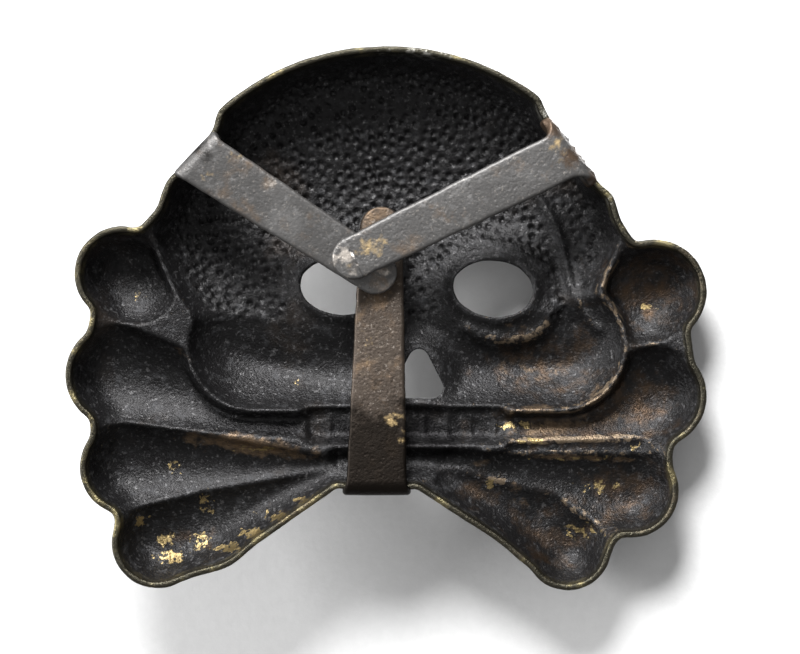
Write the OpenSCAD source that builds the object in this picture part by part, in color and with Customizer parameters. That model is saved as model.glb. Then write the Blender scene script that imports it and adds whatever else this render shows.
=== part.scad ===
// Stamped sheet-metal cap badge: a skull over crossed bones, hollow at the back,
// with three flat prongs of the same sheet folded over its edge.
// Every piece is drawn lying on its face: x to the right and y up as seen from
// the back, z towards the person looking at the back, with z = 0 at the cut edge
// of the sheet. worn() then stands the badge up the way it is worn.

/* [Sheet] */
// Thickness of the stamped sheet
sheet_t = 0.45; // [0.35:0.05:0.5]
// Width over which the cut edge turns into the face
edge_turn = 1.3; // [1:0.1:1.6]
// Height of the creases between the raised forms, over the cut edge
crease_h = 1.1; // [1:0.1:1.4]

/* [Skull] */
// Width of the cranium
cranium_w = 23; // [22:0.1:23.4]
// Height of the cranium above its widest line
cranium_up = 10.5; // [10:0.1:10.8]
// How far the skull rises over the creases at its sides
skull_h = 1.9; // [1.6:0.1:2.2]
// Extra rise of the middle of the cranium
dome_h = 1.2; // [0.8:0.1:1.6]
// Depth of the eye sockets around their holes
socket_h = 1; // [0.6:0.1:1.3]

/* [Bones] */
// How far the knobs rise over the creases
bone_h = 1.55; // [1.2:0.05:1.8]
// Radius of the fillets where the forms meet at the outline
fillet_r = 0.5; // [0.4:0.1:0.8]

/* [Holes] */
// Width of an eye hole
eye_w = 3.9; // [3.4:0.1:4.2]
// Height of an eye hole
eye_h = 2.75; // [2.4:0.05:3]
// Width of the nose hole
nose_w = 2.4; // [1.8:0.1:2.6]
// Height of the nose hole
nose_h = 2.4; // [1.8:0.1:2.6]

/* [Prongs] */
// Width of a prong near its round end
prong_tip_w = 2.1; // [1.9:0.1:2.3]
// Width of the right prong at its fold
right_root_w = 2.4; // [2.2:0.1:2.8]
// Width of the left prong at its fold
left_root_w = 2.6; // [2.2:0.1:2.8]
// Width of the lower prong at its fold
lower_root_w = 2.9; // [2.6:0.1:3.1]
// Length of the right prong from its fold
right_prong_l = 12.9; // [11:0.1:13]
// Length of the left prong from its fold
left_prong_l = 11.6; // [10:0.1:11.7]
// Length of the lower prong from its fold
lower_prong_l = 14.1; // [12:0.1:14.2]
// Inside radius of a fold
fold_r = 0.15; // [0.1:0.05:0.2]
// Gap between a fold and its seat in the edge
seat_gap = 0.03; // [0.02:0.01:0.05]

/* [Hidden] */

ANGLES = 144;
RINGS = [0, 0.01, 0.03, 0.06, 0.1, 0.15, 0.21, 0.28, 0.36, 0.45, 0.55, 0.66, 0.78, 0.9];
BISECTIONS = 16;
KNUCKLE_FN = 48;
SLIVER = 0.000001;

cranium_c = [0.05, 2.7];
cranium_down = 5.4;
dome_c = [0.3, 6.4];
dome_size = [9, 5];
skull_wall = 3;
// The sides of the skull draw in between these heights, below its widest line
side_draw = 0.9;
side_low = 1.5;
side_high = 4.8;
// Cheeks and upper jaw as rounded boxes: [centre, half size, corner radius]
CHEEKS = [[1, -1.3], [10.6, 3.1], 3.1];
JAW = [[1.1, -5.3], [4.8, 2.5], 1];
jaw_h = 1.25;
jaw_blend = 0.9;
// Hollow side of the cheekbones: [centre, size]
CHEEKBONES = [[[7.6, -2.3], [3.6, 1.2]], [[-5.8, -2.2], [3.6, 1.3]]];
cheekbone_h = 0.55;
EYES = [[-2.25, 1.6], [5.25, 1.5]];
eye_tilt = -6;
socket_reach = 2;
nose_c = [1.6, -2.65];
nose_corner = 0.5;
nose_pit = [1.8, 2];

// Tapered bars: [one end, its radius, other end, its radius].
// OUTLINE fills the badge's outline: knobs and shafts first, then what joins them
OUTLINE = [
    [[-12.75, 2.2], 2.3, [-8, -0.5], 1.9],
    [[-13, -2.7], 2.5, [-7.5, -2.5], 1.9],
    [[-12.5, -7.15], 2.3, [-6.5, -4.4], 1.9],
    [[-11.05, -10.8], 2.2, [-8.75, -9.7], 2.4],
    [[-8.75, -9.7], 2.4, [-2, -4.5], 2.8],
    [[13, 1.35], 2.5, [8, -1], 1.9],
    [[13, -3.7], 2.5, [7.5, -3], 1.9],
    [[11.9, -8.3], 2.25, [6.5, -4.4], 1.9],
    [[8.8, -11], 2.1, [7.7, -9.5], 2.3],
    [[7.7, -9.5], 2.3, [2.6, -5.5], 2.9],
    [[-10.3, 3.5], 1.8, [-12.2, -0.4], 2],
    [[-12.2, -0.4], 2, [-12.1, -5.1], 2],
    [[-12.1, -5.1], 2, [-11.1, -9.2], 1.9],
    [[10.2, 3], 1.9, [12.7, -1.5], 2],
    [[12.7, -1.5], 2, [11.7, -6.4], 2],
    [[11.7, -6.4], 2, [9.5, -9.6], 1.95],
    [[-1.4, -7.5], 0.9, [0.5, -7.5], 0.9],
    [[-8.8, -1.5], 2.8, [-8.2, -7], 2.8],
    [[8.8, -2], 2.8, [7.8, -7], 2.8]
];
// TROUGHS are the hollow knobs and shafts themselves, as seen from the back
TROUGHS = [
    [[-12.8, 2.2], 2.3, [-12.2, 1.9], 2.2],
    [[-13, -2.7], 2.5, [-4.2, -5.2], 1],
    [[-12.5, -7.15], 2.3, [-3.6, -7], 0.8],
    [[-11.05, -10.8], 2.2, [-8.6, -9.8], 1.9],
    [[-8.6, -9.8], 1.9, [-2.4, -7.7], 0.8],
    [[13, 1.4], 2.5, [12.5, 1], 2.3],
    [[13, -3.7], 2.5, [6, -5.2], 0.9],
    [[12.2, -6.2], 0.9, [6.2, -6.3], 0.4],
    [[11.9, -8.4], 2.3, [5.6, -7.5], 1],
    [[8.8, -11], 2.1, [7.6, -9.7], 2.1],
    [[7.6, -9.7], 2.1, [3.2, -7.7], 0.9]
];
full_knob_r = 2.2;
bone_edge = 0.9;

// Prongs: middle of the fold on the outline, direction of the fold's inward
// normal, direction of the strip, and how far the strip leans into the hollow
RIGHT_FOLD = [9.05, 8.25];
RIGHT_NORMAL = 217;
RIGHT_RUN = 206;
RIGHT_LEAN = 0;
LEFT_FOLD = [-9.3, 8.1];
LEFT_NORMAL = -43.5;
LEFT_RUN = -33;
LEFT_LEAN = 4.5;
LOWER_FOLD = [-0.45, -8.5];
LOWER_NORMAL = 90;
LOWER_RUN = 89;
LOWER_LEAN = 9;
FOLDS = [
    [RIGHT_FOLD, RIGHT_NORMAL, right_root_w],
    [LEFT_FOLD, LEFT_NORMAL, left_root_w],
    [LOWER_FOLD, LOWER_NORMAL, lower_root_w]
];

cut_deep = 2;
cut_side = 0.08;
grid_c = [0.2, -0.6];
far_r = 18;
knuckle_r = fold_r + sheet_t;

function heading(angle) = [cos(angle), sin(angle)];
function mix(from, to, part) = from + (to - from) * part;
function unit_part(value) = min(1, max(0, value));
function smooth(low, high, value) =
    let (part = unit_part((value - low) / (high - low)))
    part * part * (3 - 2 * part);

// Distances from a point to the outline of a form, negative inside it
function ellipse_gap(p, centre, radii) =
    let (d = p - centre + [SLIVER, 0],
         near = norm([d.x / radii.x, d.y / radii.y]),
         slope = norm([d.x / pow(radii.x, 2), d.y / pow(radii.y, 2)]))
    near * (near - 1) / slope;
function box_gap(p, centre, half, corner) =
    let (q = [abs(p.x - centre.x) - half.x + corner, abs(p.y - centre.y) - half.y + corner])
    norm([max(q.x, 0), max(q.y, 0)]) + min(max(q.x, q.y), 0) - corner;
function bar_part(p, bar) =
    let (run = bar[2] - bar[0])
    unit_part((p - bar[0]) * run / (run * run));
function bar_gap(p, bar) =
    let (part = bar_part(p, bar))
    norm(p - mix(bar[0], bar[2], part)) - mix(bar[1], bar[3], part);

// Union of two outlines with a fillet between them
function joined(a, b) =
    let (near = max(fillet_r - abs(a - b), 0))
    min(a, b) - near * near / (4 * fillet_r);
function joined_all(gaps, i = 0) =
    i == len(gaps) - 1 ? gaps[i] : joined(gaps[i], joined_all(gaps, i + 1));

function skull_gap(p, draw) =
    joined_all([
        ellipse_gap(p, cranium_c, [cranium_w / 2 - draw, p.y > cranium_c.y ? cranium_up : cranium_down]),
        box_gap(p, CHEEKS[0], CHEEKS[1], CHEEKS[2]),
        box_gap(p, JAW[0], JAW[1], JAW[2])
    ]);
// Straight cut in the outline behind each fold, a little wider than its prong
function fold_gap(p) =
    max([for (fold = FOLDS)
        let (d = p - fold[0], out = -d * heading(fold[1]), along = d * heading(fold[1] + 90))
        -box_gap([out, along], [cut_deep, 0], [cut_deep, fold[2] / 2 + cut_side], cut_side)]);
function outline_gap(p) =
    max(joined_all(concat([skull_gap(p, 0)], [for (bar = OUTLINE) bar_gap(p, bar)])), fold_gap(p));

// Rise of a rounded form from its outline inwards, steeper with a smaller power
function swell(gap, width, height, power = 0.5) =
    height * pow(1 - pow(1 - unit_part(-gap / width), 2), power);
function hump(p, centre, size, height) =
    let (d = p - centre)
    height * exp(-pow(d.x / size.x, 2) - pow(d.y / size.y, 2));
function face_relief(p) =
    skull_h
    + hump(p, dome_c, dome_size, dome_h)
    - max([for (eye = EYES)
        socket_h * (1 - smooth(0, socket_reach, ellipse_gap(p, eye, [eye_w / 2, eye_h / 2])))])
    - hump(p, nose_c, nose_pit, socket_h / 2)
    + max([for (bone = CHEEKBONES) hump(p, bone[0], bone[1], cheekbone_h)]);
function skull_relief(p, gap) =
    swell(gap, skull_wall, 1, 0.6)
    * mix(jaw_h, face_relief(p), smooth(0, jaw_blend, box_gap(p, JAW[0] - [0, 1], JAW[1], JAW[2])));
function bone_relief(p) =
    max([for (bar = TROUGHS)
        let (radius = mix(bar[1], bar[3], bar_part(p, bar)))
        swell(bar_gap(p, bar), radius, bone_h * mix(0.25, 1, unit_part(radius / full_knob_r)), 0.75)]);
function relief(p) =
    let (gap = skull_gap(p, side_draw * (1 - smooth(side_low, side_high, p.y))))
    crease_h + max(skull_relief(p, gap), smooth(0, bone_edge, gap) * bone_relief(p));

// Depth of the sheet under a point, at inset from its outer skin
function skin_z(p, inset) = -swell(outline_gap(p) + inset, edge_turn, relief(p) - inset);

// Reach of the outline from the grid's centre along one direction
function reach(angle, inset, low = 0, high = far_r, turn = 0) =
    turn == BISECTIONS ? (low + high) / 2 :
    let (half = (low + high) / 2)
    outline_gap(grid_c + half * heading(angle)) + inset < 0
        ? reach(angle, inset, half, high, turn + 1)
        : reach(angle, inset, low, half, turn + 1);
function skin_points(inset) =
    let (reaches = [for (i = [0 : ANGLES - 1]) reach(i * 360 / ANGLES, inset)])
    concat(
        [for (ring = RINGS) for (i = [0 : ANGLES - 1])
            let (p = grid_c + (1 - ring) * reaches[i] * heading(i * 360 / ANGLES))
            [p.x, p.y, ring == 0 ? 0 : skin_z(p, inset)]],
        [[grid_c.x, grid_c.y, skin_z(grid_c, inset)]]
    );

function next(i) = (i + 1) % ANGLES;
function skin_faces(start, outward) =
    let (last = len(RINGS) - 1,
         pole = start + len(RINGS) * ANGLES,
         faces = concat(
            [for (r = [0 : last - 1]) for (i = [0 : ANGLES - 1]) for (half = [0, 1])
                let (a = start + r * ANGLES + i,
                     b = start + r * ANGLES + next(i),
                     c = start + (r + 1) * ANGLES + next(i),
                     d = start + (r + 1) * ANGLES + i)
                half == 0 ? [a, b, c] : [a, c, d]],
            [for (i = [0 : ANGLES - 1]) [start + last * ANGLES + i, start + last * ANGLES + next(i), pole]]))
    outward ? faces : [for (face = faces) [face[2], face[1], face[0]]];
function edge_faces(inner_start) =
    [for (i = [0 : ANGLES - 1]) for (half = [0, 1])
        half == 0 ? [i, inner_start + i, inner_start + next(i)] : [i, inner_start + next(i), next(i)]];

// Stands a badge that lies on its face upright, with its front towards -Y
module worn() rotate([90, 0, 180]) children();

module formed_sheet() {
    outer = skin_points(0);
    inner = skin_points(sheet_t);
    polyhedron(
        points = concat(outer, inner),
        faces = concat(skin_faces(0, true), skin_faces(len(outer), false), edge_faces(len(outer))),
        convexity = 8
    );
}

module eye_hole(centre) {
    translate([centre.x, centre.y, -8])
    rotate(eye_tilt)
    linear_extrude(10)
    polygon([for (i = [0 : 31]) [eye_w / 2 * cos(i * 360 / 32), eye_h / 2 * sin(i * 360 / 32)]]);
}

// Triangle with its point up and round corners
module nose_hole() {
    side = nose_w / 2 - nose_corner;
    up = nose_h / 2 - nose_corner;
    corners = [[0, up], [-side, -up], [side, -up]];
    translate([nose_c.x, nose_c.y, -8])
    linear_extrude(10)
    polygon([for (k = [0 : 2]) for (i = [0 : 8]) corners[k] + nose_corner * heading(30 + 120 * k + i * 15)]);
}

// Moves a form drawn along +x from its fold to the fold's own place
module at_fold(fold, normal)
    translate([fold.x, fold.y, 0])
    rotate(normal)
    translate([knuckle_r, 0, 0])
    children();

module knuckle(radius, length)
    rotate([90, 0, 0])
    cylinder(r = radius, h = length, center = true, $fn = KNUCKLE_FN);

module seat(root_w) knuckle(knuckle_r + seat_gap, root_w + 4 * seat_gap);

// A prong drawn along +x, its bend axis on y, leaning into the hollow
module prong(length, root_w, run, lean) {
    tip_r = prong_tip_w / 2;
    tip = (length - tip_r - knuckle_r) * heading(run);
    side = tip_r * heading(run + 90);
    rotate([0, lean, 0]) {
        knuckle(knuckle_r, root_w);
        translate([0, 0, fold_r])
        linear_extrude(sheet_t) {
            polygon([[0, -root_w / 2], tip - side, tip + side, [0, root_w / 2]]);
            translate(tip) circle(tip_r, $fn = KNUCKLE_FN);
        }
    }
}

module badge_shell() {
    color([0.16, 0.15, 0.14])
    worn()
    difference() {
        formed_sheet();
        for (eye = EYES) eye_hole(eye);
        nose_hole();
        for (fold = FOLDS) at_fold(fold[0], fold[1]) seat(fold[2]);
    }
}

module right_prong() {
    color([0.5, 0.46, 0.4])
    worn() at_fold(RIGHT_FOLD, RIGHT_NORMAL) prong(right_prong_l, right_root_w, RIGHT_RUN - RIGHT_NORMAL, RIGHT_LEAN);
}

module left_prong() {
    color([0.45, 0.42, 0.37])
    worn() at_fold(LEFT_FOLD, LEFT_NORMAL) prong(left_prong_l, left_root_w, LEFT_RUN - LEFT_NORMAL, LEFT_LEAN);
}

module lower_prong() {
    color([0.4, 0.34, 0.27])
    worn() at_fold(LOWER_FOLD, LOWER_NORMAL) prong(lower_prong_l, lower_root_w, LOWER_RUN - LOWER_NORMAL, LOWER_LEAN);
}

badge_shell();
right_prong();
left_prong();
lower_prong();
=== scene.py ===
import math

import bpy
import numpy as np
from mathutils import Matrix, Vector, geometry, kdtree, noise


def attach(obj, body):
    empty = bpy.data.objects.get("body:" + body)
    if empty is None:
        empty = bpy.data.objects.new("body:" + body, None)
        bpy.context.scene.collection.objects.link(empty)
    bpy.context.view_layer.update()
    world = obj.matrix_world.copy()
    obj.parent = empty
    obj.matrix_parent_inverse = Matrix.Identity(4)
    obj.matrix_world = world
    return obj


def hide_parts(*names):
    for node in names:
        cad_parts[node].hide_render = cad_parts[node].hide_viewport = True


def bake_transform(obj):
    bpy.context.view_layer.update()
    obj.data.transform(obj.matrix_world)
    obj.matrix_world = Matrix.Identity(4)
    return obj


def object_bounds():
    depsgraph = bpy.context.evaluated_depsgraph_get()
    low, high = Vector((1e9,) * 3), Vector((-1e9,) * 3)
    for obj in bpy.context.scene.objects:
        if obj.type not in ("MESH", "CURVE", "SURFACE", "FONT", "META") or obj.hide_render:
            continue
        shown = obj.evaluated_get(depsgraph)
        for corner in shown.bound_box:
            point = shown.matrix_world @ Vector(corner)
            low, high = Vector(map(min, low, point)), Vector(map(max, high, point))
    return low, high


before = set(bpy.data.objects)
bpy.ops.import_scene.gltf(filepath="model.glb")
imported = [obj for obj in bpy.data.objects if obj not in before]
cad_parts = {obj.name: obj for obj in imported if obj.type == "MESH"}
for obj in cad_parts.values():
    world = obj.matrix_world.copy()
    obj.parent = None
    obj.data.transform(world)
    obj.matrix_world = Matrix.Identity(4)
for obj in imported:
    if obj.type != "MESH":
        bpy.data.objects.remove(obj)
cad_low, cad_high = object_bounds()

# ---------------------------------------------------------------------------
# Shell
# One thin brass sheet, pressed in a die from the front into a skull over
# crossed bones, so its back is hollow, then trimmed and pierced. It is drawn in
# millimetres: x right and y up as seen from behind, z towards the back.

SHEET = 0.45
EDGE_TURN = 1.3
CREASE = 1.1
RIM = 0.3
RIM_ROUND = 0.11
FILLET = 0.5
BACK_STEP = 0.125
STIPPLED_STEP = 0.086
FRONT_STEP = 0.17
EDGE_STEP = 0.12
GRID_MIDDLE = (0.2, -0.6)
GRID_HALF = (16.5, 14.2)
FAR = 18.0
TINY = 1e-6
RAYS = 7200
HALVINGS = 26
FINE_STEP = 0.014

CRANIUM = {"centre": (0.05, 2.7), "wide": 11.5, "up": 10.5, "down": 5.4}
CHEEKS = ((1.0, -1.3), (10.6, 3.1), 3.1)
JAW = ((1.1, -5.3), (4.8, 2.5), 1.0)
# Raised blocks of the upper jaw and of the bones' crossing: shape, level
BLOCKS = [((0.95, -5.05), (5.3, 1.05), 1.0, 1.05), ((0.9, -6.95), (3.8, 0.7), 0.6, 0.85)]
# Tapered bars: one end, its radius, other end, its radius
OUTLINE_BARS = [
    ((-12.75, 2.2), 2.3, (-8.0, -0.5), 1.9),
    ((-13.0, -2.7), 2.5, (-7.5, -2.5), 1.9),
    ((-12.5, -7.15), 2.3, (-6.5, -4.4), 1.9),
    ((-11.05, -10.8), 2.2, (-8.75, -9.7), 2.4),
    ((-8.75, -9.7), 2.4, (-2.0, -4.5), 2.8),
    ((13.0, 1.35), 2.5, (8.0, -1.0), 1.9),
    ((13.0, -3.7), 2.5, (7.5, -3.0), 1.9),
    ((11.9, -8.3), 2.25, (6.5, -4.4), 1.9),
    ((8.8, -11.0), 2.1, (7.7, -9.5), 2.3),
    ((7.7, -9.5), 2.3, (2.6, -5.5), 2.9),
    ((-10.3, 3.5), 1.8, (-12.2, -0.4), 2.0),
    ((-12.2, -0.4), 2.0, (-12.1, -5.1), 2.0),
    ((-12.1, -5.1), 2.0, (-11.1, -9.2), 1.9),
    ((10.2, 3.0), 1.9, (12.7, -1.5), 2.0),
    ((12.7, -1.5), 2.0, (11.7, -6.4), 2.0),
    ((11.7, -6.4), 2.0, (9.5, -9.6), 1.95),
    ((-1.4, -7.5), 0.9, (0.5, -7.5), 0.9),
    ((-8.8, -1.5), 2.8, (-8.2, -7.0), 2.8),
    ((8.8, -2.0), 2.8, (7.8, -7.0), 2.8),
]
# The hollow knobs and shafts of the bones
TROUGHS = [
    ((-12.8, 2.2), 2.3, (-12.2, 1.9), 2.2),
    ((-13.0, -2.7), 2.5, (-3.0, -5.1), 0.85),
    ((-12.5, -7.15), 2.3, (-2.6, -7.15), 0.5),
    ((-11.05, -10.8), 2.2, (-8.6, -9.8), 1.9),
    ((-8.6, -9.8), 1.9, (-2.4, -7.7), 0.8),
    ((13.0, 1.4), 2.5, (12.5, 1.0), 2.3),
    ((13.0, -3.7), 2.5, (4.2, -5.1), 0.95),
    ((12.2, -6.2), 0.9, (6.2, -6.3), 0.4),
    ((11.9, -8.4), 2.3, (3.6, -7.2), 0.8),
    ((8.8, -11.0), 2.1, (7.6, -9.7), 2.1),
    ((7.6, -9.7), 2.1, (3.2, -7.7), 0.9),
]
TROUGH_DEPTH = 1.55
EYES = [(-2.25, 1.6), (5.25, 1.5)]
EYE_HALF = (1.95, 1.38)
EYE_TILT = -6.0
NOSE = (1.6, -2.65)
NOSE_SIZE = (2.4, 2.4)
NOSE_CORNER = 0.5
RAGGED = 0.012


def unit(value):
    return np.clip(value, 0.0, 1.0)


def smooth(low, high, value):
    part = unit((value - low) / (high - low))
    return part * part * (3 - 2 * part)


def heading(degrees):
    return np.array([math.cos(math.radians(degrees)), math.sin(math.radians(degrees))])


def ellipse_gap(x, y, wide, tall):
    near = np.hypot(x / wide, y / tall) + TINY
    slope = np.hypot(x / wide**2, y / tall**2) + TINY
    return near * (near - 1) / slope


def box_gap(x, y, centre, half, corner):
    across = abs(x - centre[0]) - half[0] + corner
    along = abs(y - centre[1]) - half[1] + corner
    outside = np.hypot(np.maximum(across, 0), np.maximum(along, 0))
    return outside + np.minimum(np.maximum(across, along), 0) - corner


def bar_part(x, y, bar):
    start, _, end, _ = bar
    run = (end[0] - start[0], end[1] - start[1])
    part = (x - start[0]) * run[0] + (y - start[1]) * run[1]
    return unit(part / (run[0] ** 2 + run[1] ** 2))


def bar_gap(x, y, bar):
    start, near_r, end, far_r = bar
    part = bar_part(x, y, bar)
    across = x - start[0] - part * (end[0] - start[0])
    along = y - start[1] - part * (end[1] - start[1])
    return np.hypot(across, along) - near_r - part * (far_r - near_r)


def joined(first, second, radius=FILLET):
    near = np.maximum(radius - abs(first - second), 0)
    return np.minimum(first, second) - near * near / (4 * radius)


def skull_gap(x, y, wide):
    centre = CRANIUM["centre"]
    tall = np.where(y > centre[1], CRANIUM["up"], CRANIUM["down"])
    gap = ellipse_gap(x - centre[0], y - centre[1], wide, tall)
    return joined(gap, box_gap(x, y, *CHEEKS))


def soft_max(first, second, radius):
    near = np.maximum(radius - abs(first - second), 0)
    return np.maximum(first, second) + near * near / (4 * radius)


# Where the sheet is folded over its edge: middle of the fold, direction of its
# inward normal, width of the strip, width over which the outline runs straight.
FOLDS = {
    "right": ((9.05, 8.25), 217.0, 2.4, 6.2),
    "left": ((-9.3, 8.1), -43.5, 2.6, 4.4),
    "lower": ((-0.45, -8.5), 90.0, 2.9, 3.6),
}
CUT_DEEP = 2.0
CUT_CORNER = 1.2
CUT_SOFT = 0.5


def outline_gap(x, y):
    gap = joined(skull_gap(x, y, CRANIUM["wide"]), box_gap(x, y, *JAW))
    for bar in OUTLINE_BARS:
        gap = joined(gap, bar_gap(x, y, bar))
    for middle, normal, _, width in FOLDS.values():
        ahead, aside = heading(normal), heading(normal + 90)
        out = -(x - middle[0]) * ahead[0] - (y - middle[1]) * ahead[1]
        along = (x - middle[0]) * aside[0] + (y - middle[1]) * aside[1]
        cut = -box_gap(out, along, (CUT_DEEP, 0), (CUT_DEEP, width / 2), CUT_CORNER)
        gap = soft_max(gap, cut, CUT_SOFT)
    return gap


def evenly_spaced(loop, step):
    """The same closed loop, with its points a step apart."""
    closed = np.vstack([loop, loop[:1]])
    run = np.concatenate([[0], np.cumsum(np.hypot(*np.diff(closed, axis=0).T))])
    places = np.linspace(0, run[-1], int(run[-1] / step), endpoint=False)
    return np.column_stack([np.interp(places, run, closed[:, k]) for k in (0, 1)])


def outline_loop(step):
    """The outline found along rays from its middle, by halving."""
    turns = np.linspace(0, 2 * math.pi, RAYS, endpoint=False)
    low, high = np.zeros(len(turns)), np.full(len(turns), FAR)
    for _ in range(HALVINGS):
        reach = (low + high) / 2
        x = GRID_MIDDLE[0] + reach * np.cos(turns)
        y = GRID_MIDDLE[1] + reach * np.sin(turns)
        inside = outline_gap(x, y) < 0
        low, high = np.where(inside, reach, low), np.where(inside, high, reach)
    return evenly_spaced(np.column_stack([x, y]), step)


def eye_gap(x, y, centre):
    ahead = heading(EYE_TILT)
    dx, dy = x - centre[0], y - centre[1]
    u, v = dx * ahead[0] + dy * ahead[1], dy * ahead[0] - dx * ahead[1]
    return ellipse_gap(u, v, *EYE_HALF)


def eye_loop(centre):
    """The slightly ragged edge of a punched eye hole."""
    turns = np.linspace(0, 2 * math.pi, RAYS // 10, endpoint=False)
    tears = 0.5 * np.sin(3 * turns + centre[0]) + 0.4 * np.sin(7 * turns) + 0.3 * np.sin(13 * turns + 2)
    wave = 1 + RAGGED * tears
    ahead = heading(EYE_TILT)
    u, v = EYE_HALF[0] * wave * np.cos(turns), EYE_HALF[1] * wave * np.sin(turns)
    x = centre[0] + u * ahead[0] - v * ahead[1]
    y = centre[1] + u * ahead[1] + v * ahead[0]
    return evenly_spaced(np.column_stack([x, y]), EDGE_STEP)


def nose_loop():
    side, up = NOSE_SIZE[0] / 2 - NOSE_CORNER, NOSE_SIZE[1] / 2 - NOSE_CORNER
    points = [
        np.array(NOSE) + corner + NOSE_CORNER * heading(30 + 120 * k + turn)
        for k, corner in enumerate([(0, up), (-side, -up), (side, -up)])
        for turn in range(0, 121, 15)
    ]
    return evenly_spaced(np.array(points), EDGE_STEP)


def gap_to(points, loop):
    """Distance of each point from the nearest point of a loop."""
    tree = kdtree.KDTree(len(loop))
    for i, (x, y) in enumerate(loop):
        tree.insert((x, y, 0.0), i)
    tree.balance()
    return np.array([tree.find((x, y, 0.0))[2] for x, y in points])


def swell(gap, width, power=0.5):
    """Rises from 0 at the edge to 1 at the given width, as a rounded wall."""
    return (1 - (1 - unit(gap / width)) ** 2) ** power


def hump(x, y, centre, size, turn=0.0):
    ahead = heading(turn)
    dx, dy = x - centre[0], y - centre[1]
    across = (dx * ahead[0] + dy * ahead[1]) / size[0]
    along = (dy * ahead[0] - dx * ahead[1]) / size[1]
    return np.exp(-(across**2) - along**2)


def curve(points, steps=14):
    part = np.linspace(0, 1, steps + 1)[:, None]
    a, b, c, d = np.array(points, float)
    rest = 1 - part
    return rest**3 * a + 3 * part * rest**2 * b + 3 * part**2 * rest * c + part**3 * d


def line_gap(x, y, points):
    bars = [(start, 0.0, end, 0.0) for start, end in zip(points, points[1:])]
    return np.min([bar_gap(x, y, bar) for bar in bars], axis=0)


def ridge(x, y, points, height, width):
    return height * np.exp(-((line_gap(x, y, points) / width) ** 2))


# Ridges on the hollow side: path, height, width
TEMPLE = (curve([(7.2, 6.4), (9.6, 3.6), (8.2, 1.4), (10.4, -0.5)]), 0.22, 0.24)
EYE_LEDGE = (curve([(4.0, -0.5), (5.2, -1.3), (7.6, -1.4), (8.1, 0.2)]), 0.25, 0.35)
BROW = (curve([(0.6, 3.0), (2.4, 4.4), (5.6, 4.2), (7.6, 2.6)]), 0.18, 0.5)
LEFT_BROW = (curve([(-4.6, 3.2), (-3.4, 4.3), (-1.2, 4.2), (0.2, 3.0)]), 0.15, 0.5)
CROWN_SEAM = (curve([(-4.6, 11.6), (-1.6, 10.6), (-0.2, 8.0), (0.1, 3.4)]), 0.07, 0.13)
TOOTH_PITCH = 1.15
TOOTH_SHIFT = 0.1
TOOTH_HALF = 0.15
TOOTH_DEPTH = 0.11
TEETH_FOOT = (-5.9, -5.5)
TEETH_TOP = (-4.7, -4.2)
# Depths of the hollow face, all over and of its dome and cheeks, and their places
FACE_DEPTH = 1.9
DOME_DEPTH = 1.13
DOME = ((0.3, 6.4), (9.0, 5.0))
RIGHT_CHEEK = ((7.6, -2.3), (3.6, 1.2), 4)
RIGHT_CHEEK_DEPTH = 0.55
LEFT_CHEEK = ((-5.8, -2.2), (3.6, 1.3), -14)
LEFT_CHEEK_DEPTH = 0.6
# Shallower rings round the holes: height, and the distances between which it fades
EYE_RINGS = [(0.65, 0, 2.2), (0.28, 0, 0.6)]
NOSE_RINGS = [(0.55, 1.1, 2.3), (0.2, 1.0, 1.45)]
NOSE_STRETCH = 0.9
WALL_WIDTH = 2.4
WALL_POWER = 0.55
KNOB_POWER = 0.62
# How softly the parts run into each other
BLOCK_FADES = (-0.35, 0.6)
BLOCK_BLEND = 0.25
BONE_BLEND = 0.15
SKULL_BLEND = 0.12
JAW_BLEND = 0.2
# Half the hollow skull's width below the temples, and what it gains above them
HOLLOW_HALF = 10.6
HOLLOW_GAIN = 0.9
TEMPLE_SPAN = (1.5, 4.8)


def faded(height, near, far, gap):
    return height * (1 - smooth(near, far, gap))


def face_relief(x, y):
    height = FACE_DEPTH + DOME_DEPTH * hump(x, y, *DOME) - ridge(x, y, *CROWN_SEAM)
    for centre in EYES:
        gap = eye_gap(x, y, centre)
        height -= faded(*EYE_RINGS[0], gap) + faded(*EYE_RINGS[1], gap)
    gap = np.hypot(x - NOSE[0], (y - NOSE[1]) * NOSE_STRETCH)
    height -= faded(*NOSE_RINGS[0], gap) + faded(*NOSE_RINGS[1], gap)
    height += RIGHT_CHEEK_DEPTH * hump(x, y, *RIGHT_CHEEK)
    height += LEFT_CHEEK_DEPTH * hump(x, y, *LEFT_CHEEK)
    height -= ridge(x, y, *EYE_LEDGE)
    height -= ridge(x, y, *BROW) + ridge(x, y, *LEFT_BROW)
    return height


def jaw_relief(x, y):
    height = 0 * x
    for centre, half, corner, level in BLOCKS:
        inside = -box_gap(x, y, centre, half, corner)
        height = soft_max(height, level * smooth(*BLOCK_FADES, inside), BLOCK_BLEND)
    across = np.mod(x - TOOTH_SHIFT, TOOTH_PITCH) - TOOTH_PITCH / 2
    band = smooth(*TEETH_FOOT, y) * (1 - smooth(*TEETH_TOP, y))
    groove = np.exp(-((across / TOOTH_HALF) ** 2))
    return height - TOOTH_DEPTH * band * groove * smooth(0.3, 0.9, height)


def bone_relief(x, y):
    deepest = 0 * x
    for bar in TROUGHS:
        radius = bar[1] + bar_part(x, y, bar) * (bar[3] - bar[1])
        depth = TROUGH_DEPTH * (0.25 + 0.75 * unit(radius / 2.2))
        hollow = depth * swell(-bar_gap(x, y, bar) / radius, 1.0, KNOB_POWER)
        deepest = soft_max(deepest, hollow, BONE_BLEND)
    return deepest


def hollow_skull_gap(x, y):
    """Distance from the hollow's own outline, which draws in below the temples."""
    return skull_gap(x, y, HOLLOW_HALF + HOLLOW_GAIN * smooth(*TEMPLE_SPAN, y))


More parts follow.
